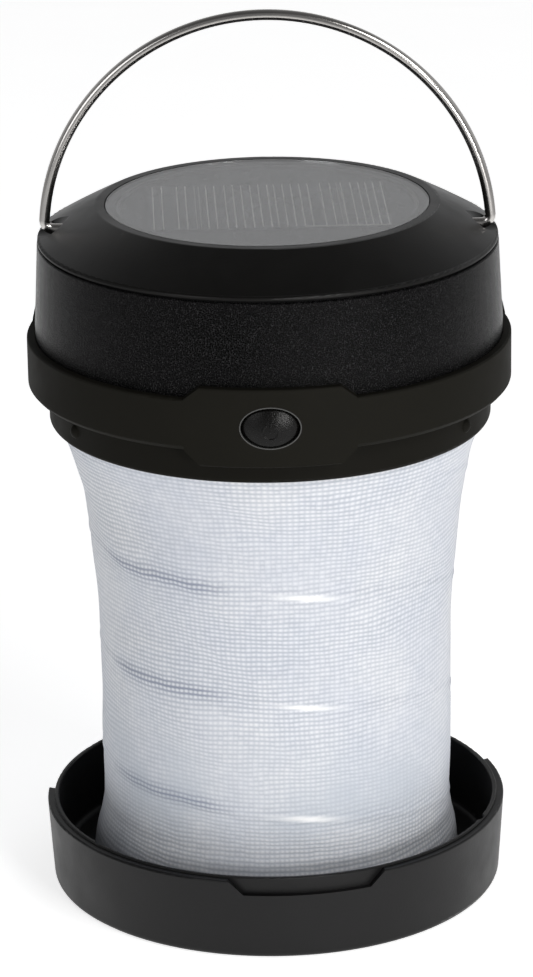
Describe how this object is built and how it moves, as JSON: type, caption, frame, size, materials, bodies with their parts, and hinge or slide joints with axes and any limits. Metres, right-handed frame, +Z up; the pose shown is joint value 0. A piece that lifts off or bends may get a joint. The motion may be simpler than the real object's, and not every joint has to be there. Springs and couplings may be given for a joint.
{
  "type": "solar lantern",
  "caption": "Collapsible solar lantern: round black head with solar panel, wire bail and power button on a white fabric sleeve over a coil spring, folding into a round tray.",
  "frame": {"origin": "centre of the base tray's underside, on the lantern's axis", "axes": "+Z up along the lantern's axis, -Y towards the power button, X along the handle's pivot pins"},
  "size_m": [0.09, 0.0909, 0.169],
  "materials": {
    "tray_plastic": "satin moulded",
    "head_plastic": "fine pebble texture",
    "cover_plastic": "matt moulded",
    "ring_plastic": "flat matt",
    "collar_plastic": "matt moulded",
    "button_plastic": "grained gloss",
    "bezel_plastic": "gloss",
    "white_plastic": "matt white",
    "lens_plastic": "frosted",
    "sleeve_fabric": "white woven mesh",
    "hem_wire": "drawn wire",
    "spring_steel": "drawn wire",
    "stainless_wire": "polished stainless",
    "window_plastic": "clear gloss",
    "cell_silicon": "dark silicon with silver fingers",
    "panel_board": "solder mask",
    "circuit_board": "green solder mask",
    "lamp_board_metal": "white coated",
    "led_package": "phosphor dome",
    "chip_plastic": "moulded chips",
    "switch_metal": "plated",
    "socket_metal": "plated",
    "battery_pouch": "foil pouch",
    "foam": "foam tape",
    "lead_sleeve": "insulated wire",
    "screw_steel": "zinc plated",
    "seal_rubber": "soft black",
    "cover_rubber": "soft matt"
  },
  "bodies": {
    "base": {"base_tray": "tray_plastic", "lower_clamp_ring": "white_plastic", "base_screws": "screw_steel", "base_reflector": "white_plastic", "fabric_shade": "sleeve_fabric", "coil_spring": "spring_steel"},
    "shade": {"upper_hoop": "hem_wire"},
    "head": {"lower_collar": "collar_plastic", "upper_clamp_ring": "white_plastic", "lamp_plate": "white_plastic", "lamp_lens": "lens_plastic", "led_board": "lamp_board_metal", "leds": "led_package", "barrel_housing": "head_plastic", "control_ring": "ring_plastic", "button_bezel": "bezel_plastic", "tact_switch": "switch_metal", "switch_board": "circuit_board", "main_board": "circuit_board", "board_components": "chip_plastic", "battery_pad": "foam", "battery": "battery_pouch", "panel_leads": "lead_sleeve", "lamp_leads": "lead_sleeve", "plate_screws": "screw_steel", "board_screws": "screw_steel", "charging_socket": "socket_metal", "port_board": "circuit_board", "seam_seal": "seal_rubber", "top_cover": "cover_plastic", "window_gasket": "seal_rubber", "solar_window": "window_plastic", "solar_board": "panel_board", "solar_cell": "cell_silicon"},
    "button": {"power_button": "button_plastic"},
    "port_flap": {"port_cover": "cover_rubber"},
    "handle": {"handle_wire": "stainless_wire"}
  },
  "joints": [
    {"name": "shade_collapse", "type": "slide", "parent": "base", "child": "shade", "axis": [0, 0, 1], "range_m": [-0.0827, 0], "stiffness_N_per_m": 60, "springref_m": 0.06, "deforming": ["fabric_shade", "coil_spring"]},
    {"name": "shade_twist", "type": "hinge", "parent": "shade", "child": "head", "pos_m": [0, 0, 0], "axis": [0, 0, 1], "range_deg": [0, 7.7]},
    {"name": "handle_pivot", "type": "hinge", "parent": "head", "child": "handle", "pos_m": [0, 0, 0.12825], "axis": [1, 0, 0], "range_deg": [-65, 65]},
    {"name": "button_press", "type": "slide", "parent": "head", "child": "button", "axis": [0, 1, 0], "range_m": [0, 0.0008], "stiffness_N_per_m": 1200, "springref_m": -0.0004},
    {"name": "port_cover_flip", "type": "hinge", "parent": "head", "child": "port_flap", "pos_m": [0.04204, 0.01647, 0.104], "axis": [0, 0, -1], "range_deg": [0, 100]}
  ],
  "couplings": [
    {"joint": "shade_twist", "follows": "shade_collapse", "rad_per_m": -1.604}
  ]
}
